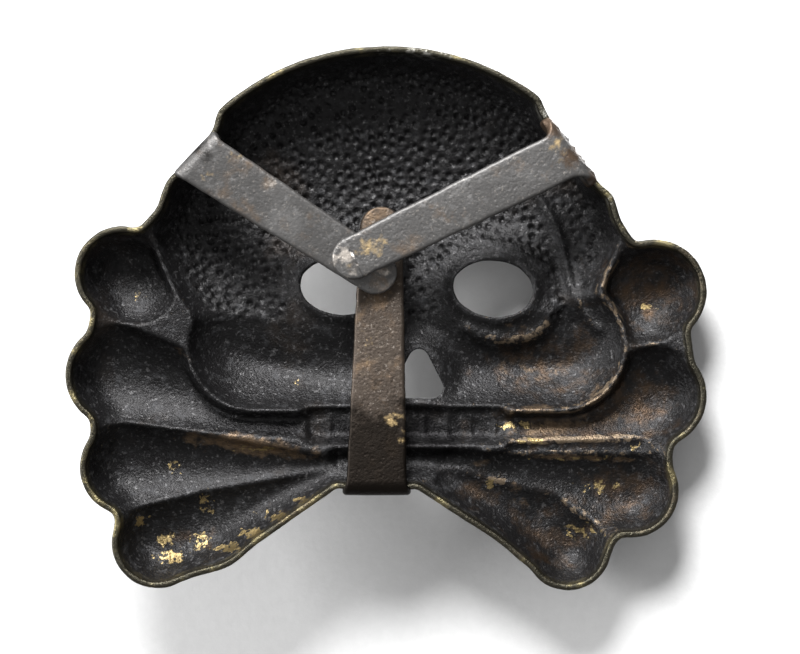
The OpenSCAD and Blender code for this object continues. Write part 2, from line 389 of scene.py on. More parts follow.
def relief(x, y):
    """How deep the die has pressed the sheet."""
    gap = hollow_skull_gap(x, y)
    skull = face_relief(x, y) * swell(-gap, WALL_WIDTH, WALL_POWER)
    bones = bone_relief(x, y) * smooth(-0.1, 0.5, gap)
    temple = ridge(x, y, *TEMPLE) * smooth(0.2, 0.8, -gap)
    pressed = soft_max(soft_max(skull, bones, SKULL_BLEND), jaw_relief(x, y), JAW_BLEND)
    return CREASE + pressed - temple


outline = outline_loop(EDGE_STEP)
fine_outline = outline_loop(FINE_STEP)
holes = [eye_loop(centre) for centre in EYES] + [nose_loop()]


def hole_gap(x, y):
    eyes = [eye_gap(x, y, centre) for centre in EYES]
    pit = np.hypot(x - NOSE[0], y - NOSE[1]) - NOSE_SIZE[0] / 2
    return np.min(eyes + [pit], axis=0)


def inward(loop):
    """The direction into a loop at each of its points."""
    along = np.roll(loop, -1, axis=0) - np.roll(loop, 1, axis=0)
    along /= np.hypot(*along.T)[:, None]
    return np.column_stack([-along[:, 1], along[:, 0]])


RING_KEPT = 0.93
HOLE_INSET = 0.07
HOLE_REACH = 3
MERGED = 1e-9
SLIVER = 1e-12


def honeycomb(step):
    rows = np.arange(-GRID_HALF[1], GRID_HALF[1], step * math.sqrt(3) / 2)
    columns = np.arange(-GRID_HALF[0], GRID_HALF[0], step)
    x, y = np.meshgrid(columns, rows)
    x = x + step / 2 * (np.arange(len(rows)) % 2)[:, None]
    return np.column_stack([x.ravel(), y.ravel()])


def dome_part(x, y):
    """1 where the cranium is stippled, 0 away from it."""
    skull = -hollow_skull_gap(x, y)
    eyes = np.min([eye_gap(x, y, centre) for centre in EYES], axis=0)
    away = smooth(0.3, 0.6, line_gap(x, y, TEMPLE[0]))
    return smooth(0.45, 1.1, skull) * smooth(-0.9, 0.6, y) * smooth(0.5, 1.3, eyes) * away


def inside_loop(points, loop):
    x, y = points.T
    inside = np.zeros(len(points), bool)
    for (ax, ay), (bx, by) in zip(loop, np.roll(loop, -1, axis=0)):
        if ay == by:
            continue
        crosses = (ay > y) != (by > y)
        inside ^= crosses & (x < (bx - ax) * (y - ay) / (by - ay) + ax)
    return inside


def trimmed_sheet(step, close_step, insets):
    """Flat triangles inside the outline and outside the holes, and the distance
    of each point from the outline. The outline's points come first, then the holes'."""
    loops = [outline, *holes]
    fixed = np.vstack(loops)
    extra = []
    for inset in insets:
        ring = outline + inset * inward(outline)
        extra.append(ring[gap_to(ring, fine_outline) > RING_KEPT * inset])
    extra += [hole - HOLE_INSET * inward(hole) for hole in holes]
    coarse, close = honeycomb(step), honeycomb(close_step)
    grid = np.vstack([coarse[dome_part(*coarse.T) <= 0.5], close[dome_part(*close.T) > 0.5]])
    grid = grid[outline_gap(*grid.T) < -insets[-1] / 2]
    grid = grid[gap_to(grid, fine_outline) > insets[-1] + step / 2]
    for hole in holes:
        near = np.hypot(*(grid - hole.mean(axis=0)).T) < HOLE_REACH
        kept = ~near
        kept[near] = gap_to(grid[near], hole) > HOLE_INSET + step / 2
        kept[near] &= ~inside_loop(grid[near], hole)
        grid = grid[kept]
    points = np.vstack([fixed, *extra, grid])
    edges, start = [], 0
    for loop in loops:
        count = len(loop)
        edges += [(start + i, start + (i + 1) % count) for i in range(count)]
        start += count
    flat, _, faces, origins, _, _ = geometry.delaunay_2d_cdt(
        [Vector(point) for point in points], edges, [], 1, MERGED
    )
    flat, faces = np.array(flat), np.array(faces)
    # Where each fixed point has gone, and which triangles only cover a hole
    place = np.zeros(len(fixed), int)
    for new, olds in enumerate(origins):
        for old in olds:
            if old < len(fixed):
                place[old] = new
    hole_of = np.full(len(flat), -1)
    start = len(outline)
    for k, hole in enumerate(holes):
        hole_of[place[start:start + len(hole)]] = k
        start += len(hole)
    first, second, third = hole_of[faces].T
    faces = faces[~((first >= 0) & (first == second) & (second == third))]
    a, b, c = (flat[faces[:, k]] for k in range(3))
    turn = (b[:, 0] - a[:, 0]) * (c[:, 1] - a[:, 1]) - (b[:, 1] - a[:, 1]) * (c[:, 0] - a[:, 0])
    faces[turn < 0] = faces[turn < 0][:, ::-1]
    faces = faces[abs(turn) > SLIVER]
    return flat, faces, place, gap_to(flat, fine_outline)


BACK_INSETS = [0.04, 0.1, 0.2, 0.26, 0.3, 0.308, 0.33, 0.37, 0.43, 0.51, 0.6]
FRONT_INSETS = [0.008, 0.03, 0.07, 0.13, 0.22, 0.34]
LIP_WIDTH = 0.16
BACK_LIP = 0.07
FRONT_LIP = 0.05
back_flat, back_faces, back_place, back_gap = trimmed_sheet(BACK_STEP, STIPPLED_STEP, BACK_INSETS)
front_flat, front_faces, front_place, front_gap = trimmed_sheet(FRONT_STEP, FRONT_STEP, FRONT_INSETS)

x, y = back_flat.T
rounding = RIM_ROUND - np.minimum(np.minimum(back_gap, abs(RIM - back_gap)), RIM_ROUND)
rim_z = np.sqrt(RIM_ROUND**2 - rounding**2) - RIM_ROUND
pierced = 1 - smooth(0, LIP_WIDTH, hole_gap(x, y))
hollow = (relief(x, y) - SHEET - RIM_ROUND) * swell(back_gap - RIM, EDGE_TURN)
back_z = np.where(back_gap < RIM, rim_z, -RIM_ROUND - hollow) - BACK_LIP * pierced
x, y = front_flat.T
pierced = 1 - smooth(0, LIP_WIDTH, hole_gap(x, y))
front_z = -RIM_ROUND - (relief(x, y) - RIM_ROUND) * swell(front_gap, EDGE_TURN) + FRONT_LIP * pierced


def to_frame(x, y, z):
    """From the drawing, in millimetres, to the badge standing up as it is worn."""
    return np.column_stack([-x, z, y]) / 1000


def closed_shell():
    """The back and the face joined along the outline and through the holes."""
    first_front = len(back_flat)
    points = np.vstack([to_frame(*back_flat.T, back_z), to_frame(*front_flat.T, front_z)])
    merged = np.arange(len(points))
    edge = len(outline)
    merged[first_front + front_place[:edge]] = back_place[:edge]
    faces = [back_faces, merged[first_front + front_faces][:, ::-1]]
    start = edge
    for hole in holes:
        span = np.arange(start, start + len(hole))
        upper = back_place[span]
        lower = first_front + front_place[span]
        upper_next, lower_next = np.roll(upper, -1), np.roll(lower, -1)
        faces.append(np.column_stack([upper, upper_next, lower_next]))
        faces.append(np.column_stack([upper, lower_next, lower]))
        start += len(hole)
    faces = np.vstack(faces)
    used = np.zeros(len(points), bool)
    used[faces] = True
    return points[used], (np.cumsum(used) - 1)[faces], used


def plain_mesh(name, points, faces):
    mesh = bpy.data.meshes.new(name)
    mesh.vertices.add(len(points))
    mesh.vertices.foreach_set("co", np.asarray(points, np.float32).ravel())
    mesh.loops.add(faces.size)
    mesh.loops.foreach_set("vertex_index", faces.astype(np.int32).ravel())
    mesh.polygons.add(len(faces))
    corners = faces.shape[1]
    mesh.polygons.foreach_set("loop_start", np.arange(len(faces), dtype=np.int32) * corners)
    mesh.update(calc_edges=True)
    mesh.validate()
    mesh.shade_smooth()
    return mesh


def mark(mesh, name, values):
    layer = mesh.attributes.get(name) or mesh.attributes.new(name, "FLOAT", "POINT")
    layer.data.foreach_set("value", np.asarray(values, np.float32))


shell_points, shell_faces, shell_used = closed_shell()
shell_mesh = plain_mesh("badge_shell_back", shell_points, shell_faces)
x, y = -1000 * shell_points[:, 0], 1000 * shell_points[:, 2]
is_back = (np.arange(len(shell_used)) < len(back_flat))[shell_used]
rim_gap = np.concatenate([back_gap, front_gap])[shell_used]
stippled = dome_part(x, y) * smooth(0.2, 0.6, rim_gap - RIM)
back_edge, front_edge = 1 - smooth(0.28, 0.42, rim_gap), 1 - smooth(0.0, 0.15, rim_gap)
FRONT_SHARE = 0.45
FRONT_BRONZED = 0.35
mark(shell_mesh, "stippled", np.where(is_back, stippled, -FRONT_SHARE * stippled))
mark(shell_mesh, "rim", np.where(is_back, back_edge, front_edge))

# Where the black has thinned to bronze: centre, size, strength
BRONZED = [
    ((13.0, 1.6), (3.6, 3.0), 0.95), ((8.0, -2.2), (4.6, 2.8), 0.85), ((12.0, -4.2), (3.6, 2.4), 0.95),
    ((9.0, -5.4), (5.5, 1.5), 0.9), ((11.5, -8.4), (3.6, 2.6), 0.85), ((8.0, -10.6), (3.6, 2.6), 0.8),
    ((4.6, -8.2), (2.8, 1.6), 0.75), ((-9.6, -10.6), (4.0, 1.7), 0.6), ((-3.8, -9.4), (3.6, 1.0), 0.75),
    ((-12.4, 1.6), (1.2, 1.0), 0.5), ((-4.6, -2.4), (1.6, 1.0), 0.45), ((-9.5, 2.0), (1.2, 4.0), 0.4),
]
# Tops of the ridges between the hollows, rubbed brown: centre, size, strength, turn
RIDGED = [
    ((-6.9, -6.1), (3.8, 0.6), 1.25, -7), ((-9.6, -5.9), (1.2, 0.3), 0.7, 0),
    ((8.4, -5.25), (3.4, 0.55), 1.0, 8), ((9.2, -6.75), (4.2, 0.22), 0.95, -3),
    ((7.0, -4.35), (2.6, 0.3), 0.85, 4), ((10.3, -3.4), (1.2, 0.4), 0.7, 50),
    ((4.4, -7.0), (1.2, 0.4), 0.7, 0), ((-9.9, -1.6), (1.0, 0.3), 0.7, -50),
    ((6.6, -8.9), (1.6, 0.5), 0.7, -60), ((-3.6, -8.9), (2.6, 0.3), 0.9, 32),
    ((6.6, -0.4), (1.6, 0.3), 0.7, -10), ((7.0, -2.4), (2.4, 0.9), 0.62, 0),
]
# Patches of the hollow side laid nearly black, several of them where the hollows run together
DARK_PATCHES = [
    ((0.8, -5.6), (5.6, 1.7), 1.3), ((-5.0, -5.3), (1.6, 0.6), 1.2), ((-6.5, -7.3), (3.6, 0.8), 0.85),
    ((-12.6, 2.6), (2.6, 2.4), 0.75), ((-6.0, -3.2), (3.6, 1.6), 0.75), ((-12.6, -6.8), (2.4, 1.8), 0.7),
    ((0.6, -1.0), (1.6, 2.4), 0.9), ((7.4, 0.2), (2.4, 1.6), 0.6),
]
# Bright brass where the black has lifted in flakes
FLAKED = [
    ((-10.9, -10.8), (0.7, 0.5), 0.74), ((-9.1, -10.9), (0.6, 0.6), 0.74),
    ((-10.4, -11.6), (1.1, 0.5), 0.68),
    ((-8.8, -9.0), (0.5, 0.7), 0.72), ((-7.6, -11.1), (1.1, 0.35), 0.74), ((-6.3, -10.4), (1.2, 0.35), 0.8),
    ((-5.0, -9.6), (1.3, 0.35), 0.82), ((-3.6, -8.8), (1.2, 0.3), 0.78), ((-12.1, 1.2), (0.35, 0.35), 0.66),
    ((7.2, -5.9), (1.4, 0.2), 0.62), ((10.5, -8.2), (1.5, 0.5), 0.6), ((12.9, 0.6), (0.8, 0.4), 0.55),
    ((9.4, -10.4), (1.2, 0.6), 0.62), ((-10.3, -7.2), (0.5, 0.4), 0.62), ((6.2, -5.2), (1.4, 0.3), 0.68),
    ((-4.4, -2.9), (0.4, 0.4), 0.55), ((-6.2, -6.3), (2.0, 0.2), 0.66), ((-11.9, -9.9), (0.5, 0.5), 0.6),
    ((9.0, -6.8), (3.0, 0.14), 0.58), ((5.0, -8.0), (0.6, 0.5), 0.6), ((12.2, -6.3), (0.6, 0.4), 0.6),
]
# Rim worn to bare metal
SCUFFED = [((1.5, 12.8), (3.0, 0.6), 0.66), ((7.4, 9.9), (1.0, 0.8), 0.62), ((10.8, 5.8), (0.8, 1.0), 0.6)]


def spotted(x, y, spots):
    """The strongest of the given spots at each point."""
    cover = 0 * x
    for centre, size, strength, *turn in spots:
        cover = np.maximum(cover, strength * hump(x, y, centre, size, *turn))
    return cover


mark(shell_mesh, "bronzed", np.where(is_back, spotted(x, y, BRONZED), FRONT_BRONZED))
for label, spots in (("darkened", DARK_PATCHES), ("ridged", RIDGED), ("flaked", FLAKED)):
    mark(shell_mesh, label, np.where(is_back, spotted(x, y, spots), 0.0))
mark(shell_mesh, "scuffed", spotted(x, y, SCUFFED))


def add(tree, kind, inputs=None, **settings):
    made = tree.nodes.new(kind)
    for name, value in settings.items():
        setattr(made, name, value)
    for name, value in (inputs or {}).items():
        if isinstance(value, bpy.types.NodeSocket):
            tree.links.new(value, made.inputs[name])
        else:
            made.inputs[name].default_value = value
    return made


def maths(tree, operation, first, second, third=0.0):
    return add(tree, "ShaderNodeMath", {0: first, 1: second, 2: third}, operation=operation).outputs[0]


def ranged(tree, value, low, high, **settings):
    """0 where a value is low and 1 where it is high."""
    inputs = {"Value": value, "From Min": low, "From Max": high}
    return add(tree, "ShaderNodeMapRange", inputs, **settings).outputs[0]


def new_tree(name, kind, inputs, outputs):
    """A node group and the sockets inside it: what comes in, and what goes out."""
    tree = bpy.data.node_groups.new(name, kind)
    for label, socket, value in inputs:
        made = tree.interface.new_socket(label, in_out="INPUT", socket_type=socket)
        if value is not None:
            made.default_value = value
    for label, socket in outputs:
        tree.interface.new_socket(label, in_out="OUTPUT", socket_type=socket)
    source = tree.nodes.new("NodeGroupInput").outputs
    result = tree.nodes.new("NodeGroupOutput").inputs
    return tree, source, result


# Stipple: small round dents of the die over the parts marked "stippled", sunk in
# the hollow side and raised on the face, and the slight unevenness of the sheet.
stipple, given, result = new_tree(
    "stippled_press", "GeometryNodeTree",
    [
        ("Geometry", "NodeSocketGeometry", None),
        ("Spacing", "NodeSocketFloat", 0.00037),
        ("Dent Radius", "NodeSocketFloat", 0.0002),
        ("Dent Depth", "NodeSocketFloat", 0.00014),
        ("Dent Floor", "NodeSocketFloat", 0.00005),
        ("Unevenness", "NodeSocketFloat", 0.00008),
        ("Seed", "NodeSocketInt", 7),
        ("Material", "NodeSocketMaterial", None),
    ],
    [("Geometry", "NodeSocketGeometry")],
)
named = add(stipple, "GeometryNodeInputNamedAttribute", {"Name": "stippled"}, data_type="FLOAT")
amount = named.outputs[0]
cover = maths(stipple, "ABSOLUTE", amount, 0.0)
density = maths(stipple, "POWER", given["Spacing"], -2.0)
crowded = maths(stipple, "MULTIPLY", density, 3.0)
dents = add(
    stipple, "GeometryNodeDistributePointsOnFaces",
    {"Mesh": given["Geometry"], "Distance Min": given["Spacing"], "Density Max": crowded,
     "Density Factor": cover, "Seed": given["Seed"]},
    distribute_method="POISSON",
).outputs["Points"]
closest = add(stipple, "GeometryNodeProximity", {"Geometry": dents}, target_element="POINTS")
shape = add(
    stipple, "ShaderNodeMapRange",
    {"Value": closest.outputs["Distance"], "From Min": given["Dent Floor"],
     "From Max": given["Dent Radius"], "To Min": 1.0, "To Max": 0.0},
    interpolation_type="SMOOTHSTEP",
).outputs[0]
strength = add(
    stipple, "FunctionNodeRandomValue", {"Min": 0.4, "Max": 1.3, "Seed": given["Seed"]}, data_type="FLOAT"
).outputs["Value"]
index = add(stipple, "GeometryNodeSampleNearest", {"Geometry": dents}, domain="POINT").outputs["Index"]
sampled = add(
    stipple, "GeometryNodeSampleIndex",
    {"Geometry": dents, "Value": strength, "Index": index}, data_type="FLOAT",
).outputs[0]
varied = maths(stipple, "MULTIPLY", shape, sampled)
signed = maths(stipple, "MULTIPLY", varied, amount)
depth = maths(stipple, "MULTIPLY", given["Dent Depth"], -1.0)
dented = maths(stipple, "MULTIPLY", signed, depth)
waves = add(stipple, "ShaderNodeTexNoise", {"Scale": 1100.0, "Detail": 3.0}).outputs[0]
swing = maths(stipple, "ADD", waves, -0.5)
smoother = maths(stipple, "MULTIPLY_ADD", cover, -0.7, 1.0)
wave = maths(stipple, "MULTIPLY", swing, smoother)
uneven = maths(stipple, "MULTIPLY", wave, given["Unevenness"])
moved = maths(stipple, "ADD", dented, uneven)
normal = add(stipple, "GeometryNodeInputNormal").outputs[0]
offset = add(stipple, "ShaderNodeVectorMath", {0: normal, "Scale": moved}, operation="SCALE").outputs[0]
pressed = add(stipple, "GeometryNodeSetPosition", {"Geometry": given["Geometry"], "Offset": offset})
plain = add(stipple, "GeometryNodeRealizeInstances", {"Geometry": pressed.outputs[0]}).outputs[0]
coated = add(stipple, "GeometryNodeSetMaterial", {"Geometry": plain, "Material": given["Material"]})
stipple.links.new(coated.outputs[0], result["Geometry"])


def pressed_piece(name, mesh, material, **sizes):
    """The mesh with the die's stipple pressed in, as a plain piece."""
    piece = bpy.data.objects.new(name, mesh)
    bpy.context.scene.collection.objects.link(piece)
    press = piece.modifiers.new("press", "NODES")
    press.node_group = stipple
    wanted = {"Material": material, **sizes}
    for item in stipple.interface.items_tree:
        if item.in_out == "INPUT" and item.name in wanted:
            press[item.identifier] = wanted[item.name]
    bpy.context.view_layer.update()
    done = piece.evaluated_get(bpy.context.evaluated_depsgraph_get())
    finished = bpy.data.meshes.new_from_object(done)
    piece.modifiers.remove(press)
    piece.data = finished
    finished.name = name
    finished.shade_smooth()
    return piece


CREST_HEIGHT = 0.00008


def mark_crests(mesh, reach):
    """Marks how far each point stands proud of its surroundings, from 0 to 1."""
    count = len(mesh.vertices)
    co = np.zeros(count * 3, np.float32)
    mesh.vertices.foreach_get("co", co)
    co = co.reshape(-1, 3).astype(float)
    normals = np.zeros(count * 3, np.float32)
    mesh.vertices.foreach_get("normal", normals)
    ends = np.zeros(len(mesh.edges) * 2, np.int32)
    mesh.edges.foreach_get("vertices", ends)
    a, b = ends.reshape(-1, 2).T
    share = np.bincount(a, minlength=count) + np.bincount(b, minlength=count)
    blurred = co.copy()
    for _ in range(reach):
        near = [
            np.bincount(a, blurred[b, k], count) + np.bincount(b, blurred[a, k], count)
            for k in range(3)
        ]
        blurred = 0.5 * blurred + 0.5 * np.column_stack(near) / share[:, None]
    proud = np.einsum("ij,ij->i", co - blurred, normals.reshape(-1, 3))
    mark(mesh, "crest", unit(0.5 + proud / CREST_HEIGHT))


# Finish of the shell: brass blacked all over, thinned to bronze where it was
# handled, rubbed through along its edge, with specks of dust.
# Blotches: a cloud of noise cut at the level that gives the wanted cover.
mottle, given, result = new_tree(
    "mottled_cover", "ShaderNodeTree",
    [
        ("Place", "NodeSocketVector", None),
        ("Scale", "NodeSocketFloat", 1.0),
        ("Shift", "NodeSocketFloat", 0.0),
        ("Cover", "NodeSocketFloat", 0.5),
        ("Softness", "NodeSocketFloat", 0.1),
    ],
    [("Mask", "NodeSocketFloat")],
)
shifted = add(mottle, "ShaderNodeVectorMath", {0: given["Place"], 1: given["Shift"]}, operation="ADD")
cloud = add(
    mottle, "ShaderNodeTexNoise",
    {"Vector": shifted.outputs[0], "Scale": given["Scale"], "Detail": 5.0, "Roughness": 0.62},
).outputs[0]
lowered = maths(mottle, "MULTIPLY_ADD", given["Cover"], -0.5, 0.76)
raised = maths(mottle, "ADD", lowered, given["Softness"])
covered = ranged(mottle, cloud, lowered, raised, interpolation_type="SMOOTHSTEP")
mottle.links.new(covered, result["Mask"])

# Grain of the struck surface, with shallow pits
grain, given, result = new_tree(
    "struck_grain", "ShaderNodeTree",
    [
        ("Place", "NodeSocketVector", None),
        ("Grain Scale", "NodeSocketFloat", 9.0),
        ("Pit Scale", "NodeSocketFloat", 4.0),
        ("Pit Share", "NodeSocketFloat", 0.4),
    ],
    [("Height", "NodeSocketFloat")],
)
rough_cloud = add(
    grain, "ShaderNodeTexNoise",
    {"Vector": given["Place"], "Scale": given["Grain Scale"], "Detail": 4.0, "Roughness": 0.6},
).outputs[0]
pits = add(
    grain, "ShaderNodeTexVoronoi",
    {"Vector": given["Place"], "Scale": given["Pit Scale"]}, feature="SMOOTH_F1",
).outputs["Distance"]
deeper = ranged(grain, pits, 0.05, 0.4, interpolation_type="SMOOTHSTEP")
pitted = maths(grain, "MULTIPLY", deeper, given["Pit Share"])
height = maths(grain, "ADD", rough_cloud, pitted)
grain.links.new(height, result["Height"])

# Specks of dust: one round dot in a share of the cells
dust, given, result = new_tree(
    "dust_specks", "ShaderNodeTree",
    [
        ("Place", "NodeSocketVector", None),
        ("Scale", "NodeSocketFloat", 2.0),
        ("Speck Size", "NodeSocketFloat", 0.08),
        ("Share", "NodeSocketFloat", 0.2),
    ],
    [("Mask", "NodeSocketFloat")],
)
cells = add(dust, "ShaderNodeTexVoronoi", {"Vector": given["Place"], "Scale": given["Scale"]})
chosen = maths(dust, "LESS_THAN", cells.outputs["Color"], given["Share"])
dot = add(
    dust, "ShaderNodeMapRange",
    {"Value": cells.outputs["Distance"], "From Min": 0.0, "From Max": given["Speck Size"],
     "To Min": 1.0, "To Max": 0.0},
    interpolation_type="SMOOTHSTEP",
).outputs[0]
speck = maths(dust, "MULTIPLY", dot, chosen)
dust.links.new(speck, result["Mask"])


def use(tree, group, **inputs):
    """Places a group with its own values, and gives what it puts out."""
    placed = add(tree, "ShaderNodeGroup", node_tree=group)
    for name, value in inputs.items():
        socket = placed.inputs[name.replace("_", " ")]
        if isinstance(value, bpy.types.NodeSocket):
            tree.links.new(value, socket)
        else:
            socket.default_value = value
    return placed.outputs[0]


def over(tree, mask, under, top):
    """One colour laid over another by a mask."""
    mix = tree.nodes.new("ShaderNodeMix")
    mix.data_type = "RGBA"
    for socket, value in ((mix.inputs[0], mask), (mix.inputs[6], under), (mix.inputs[7], top)):
        if isinstance(value, bpy.types.NodeSocket):
            tree.links.new(value, socket)
        else:
            socket.default_value = (*value, 1.0) if isinstance(value, tuple) else value
    return mix.outputs[2]


def new_material(name):
    """A material whose textures are laid out in millimetres on the piece itself."""
    material = bpy.data.materials.new(name)
    material.use_nodes = True
    tree = material.node_tree
    tree.nodes.clear()
    surface = add(tree, "ShaderNodeOutputMaterial")
    skin = add(tree, "ShaderNodeBsdfPrincipled")
    tree.links.new(skin.outputs[0], surface.inputs["Surface"])
    where = add(tree, "ShaderNodeTexCoord").outputs["Object"]
    place = add(tree, "ShaderNodeMapping", {"Vector": where, "Scale": (1000, 1000, 1000)}).outputs[0]
    return material, tree, skin.inputs, place


def marked(tree, name):
    """Reads a mark that the mesh carries."""
    return add(tree, "ShaderNodeAttribute", attribute_name=name).outputs["Fac"]


BLACK = (0.012, 0.0115, 0.012)
CHARCOAL = (0.034, 0.034, 0.036)
WORN_BLACK = (0.12, 0.118, 0.12)
BROWN = (0.055, 0.038, 0.026)
BRONZE = (0.075, 0.05, 0.033)
RIDGE_BRONZE = (0.2, 0.14, 0.09)
BRASS = (0.33, 0.25, 0.12)
PALE_BRONZE = (0.24, 0.18, 0.12)
RIM_DARK = (0.06, 0.055, 0.04)
RIM_BRASS = (0.24, 0.205, 0.11)
SCUFF = (0.42, 0.41, 0.37)
DUST = (0.24, 0.23, 0.21)

patinated_brass, tree, skin, place = new_material("patinated_brass")
crest = ranged(tree, marked(tree, "crest"), 0.62, 0.95)
touched = maths(tree, "MULTIPLY", crest, marked(tree, "bronzed"))
edge = marked(tree, "rim")
# Blotches: scale, shift, cover, softness
fine, speckle, gritty, broad, bronzed, ridged, darkened, flaked, rubbed, polished, scuffed = (
    use(tree, mottle, Place=place, Scale=scale, Shift=shift, Cover=cover, Softness=softness)
    for scale, shift, cover, softness in (
        (2.2, 3.0, 0.5, 0.2),
        (7.0, 79.0, 0.42, 0.15),
        (5.0, 97.0, 0.4, 0.12),
        (0.22, 11.0, 0.42, 0.25),
        (1.1, 23.0, marked(tree, "bronzed"), 0.42),
        (1.6, 47.0, marked(tree, "ridged"), 0.38),
        (1.3, 7.0, marked(tree, "darkened"), 0.4),
        (2.8, 31.0, marked(tree, "flaked"), 0.07),
        (2.4, 41.0, touched, 0.12),
        (0.7, 61.0, 0.5, 0.16),
        (2.0, 67.0, marked(tree, "scuffed"), 0.2),
    )
)
bright_edge = maths(tree, "MULTIPLY", edge, polished)
bare_edge = maths(tree, "MULTIPLY", edge, scuffed)
specks = use(tree, dust, Place=place, Scale=1.7, Speck_Size=0.1, Share=0.13)
# Coats in the order in which they lie: mask, how much it covers, colour
colour = over(tree, fine, BLACK, CHARCOAL)
for mask, share, coat in (
    (gritty, 0.6, WORN_BLACK), (broad, 0.5, BROWN), (bronzed, 1.0, BRONZE), (ridged, 1.0, RIDGE_BRONZE),
    (rubbed, 0.6, PALE_BRONZE), (speckle, 0.35, BLACK), (darkened, 0.85, BLACK), (flaked, 1.0, BRASS),
    (edge, 0.8, RIM_DARK), (bright_edge, 0.8, RIM_BRASS), (bare_edge, 1.0, SCUFF), (specks, 0.5, DUST),
):
    colour = over(tree, maths(tree, "MULTIPLY", mask, share), colour, coat)
tree.links.new(colour, skin["Base Color"])
metal = bronzed
for bare in (ridged, edge, flaked, darkened):
    metal = maths(tree, "MAXIMUM", metal, bare)
tree.links.new(maths(tree, "MULTIPLY_ADD", metal, 0.43, 0.55), skin["Metallic"])
skin["Specular IOR Level"].default_value = 0.35
dulled = maths(tree, "MULTIPLY_ADD", fine, 0.16, 0.37)
tree.links.new(maths(tree, "MULTIPLY_ADD", specks, 0.3, dulled), skin["Roughness"])
rough = use(tree, grain, Place=place, Grain_Scale=9.0, Pit_Scale=5.0, Pit_Share=0.2)
bump = add(tree, "ShaderNodeBump", {"Height": rough, "Strength": 0.8, "Distance": 0.00006})
tree.links.new(bump.outputs[0], skin["Normal"])

SHELL_REACH = 24
shell = pressed_piece("pressed_shell", shell_mesh, patinated_brass)
mark_crests(shell.data, SHELL_REACH)
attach(shell, "shell")
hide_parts("badge_shell")

# ---------------------------------------------------------------------------
# Prongs
# Three strips left on the sheet when it was cut out, folded over its edge to
# hold the badge through the cloth. The upper right one lies on top, and the
# others under it. Bare where they were bent and rubbed.

STRIP = 0.44
BEND_R = 0.6
BEND_MIDDLE = BEND_R - SHEET / 2
TIP_HALF = 1.05
CORNER = 0.17
CORNER_STEPS = 4
FACE_STEPS = 14
STATION = 0.075
LEG = 0.85
TUCK = 0.1
STRAIGHTENS = 2.0
LEG_STEPS = 9
BEND_STEPS = 15
TIP_STEPS = 21
END_GAP = 0.004
FLARE_FADES = (-BEND_MIDDLE * 1.9, 0.35)
WANDER = 0.03
TIP_THINS = 0.45
CROWN = 0.015


def rounded_section(half, thick):
    """Corners of a strip's cross-section, once round, for each station."""
    corner = np.minimum(CORNER, 0.98 * np.minimum(half, thick / 2))
    across, up = [], []
    for k, (sx, sz) in enumerate([(1, 1), (-1, 1), (-1, -1), (1, -1)]):
        for turn in np.linspace(90 * k, 90 * k + 90, CORNER_STEPS + 1):
            step = heading(turn)
            across.append(sx * (half - corner) + corner * step[0])
            up.append(sz * (thick / 2 - corner) + corner * step[1])
        if k % 2 == 0:
            for part in np.linspace(0, 1, FACE_STEPS + 1)[1:-1]:
                across.append(sx * (half - corner) * (1 - 2 * part))
                up.append(sz * thick / 2)
    return np.array(across).T, np.array(up).T


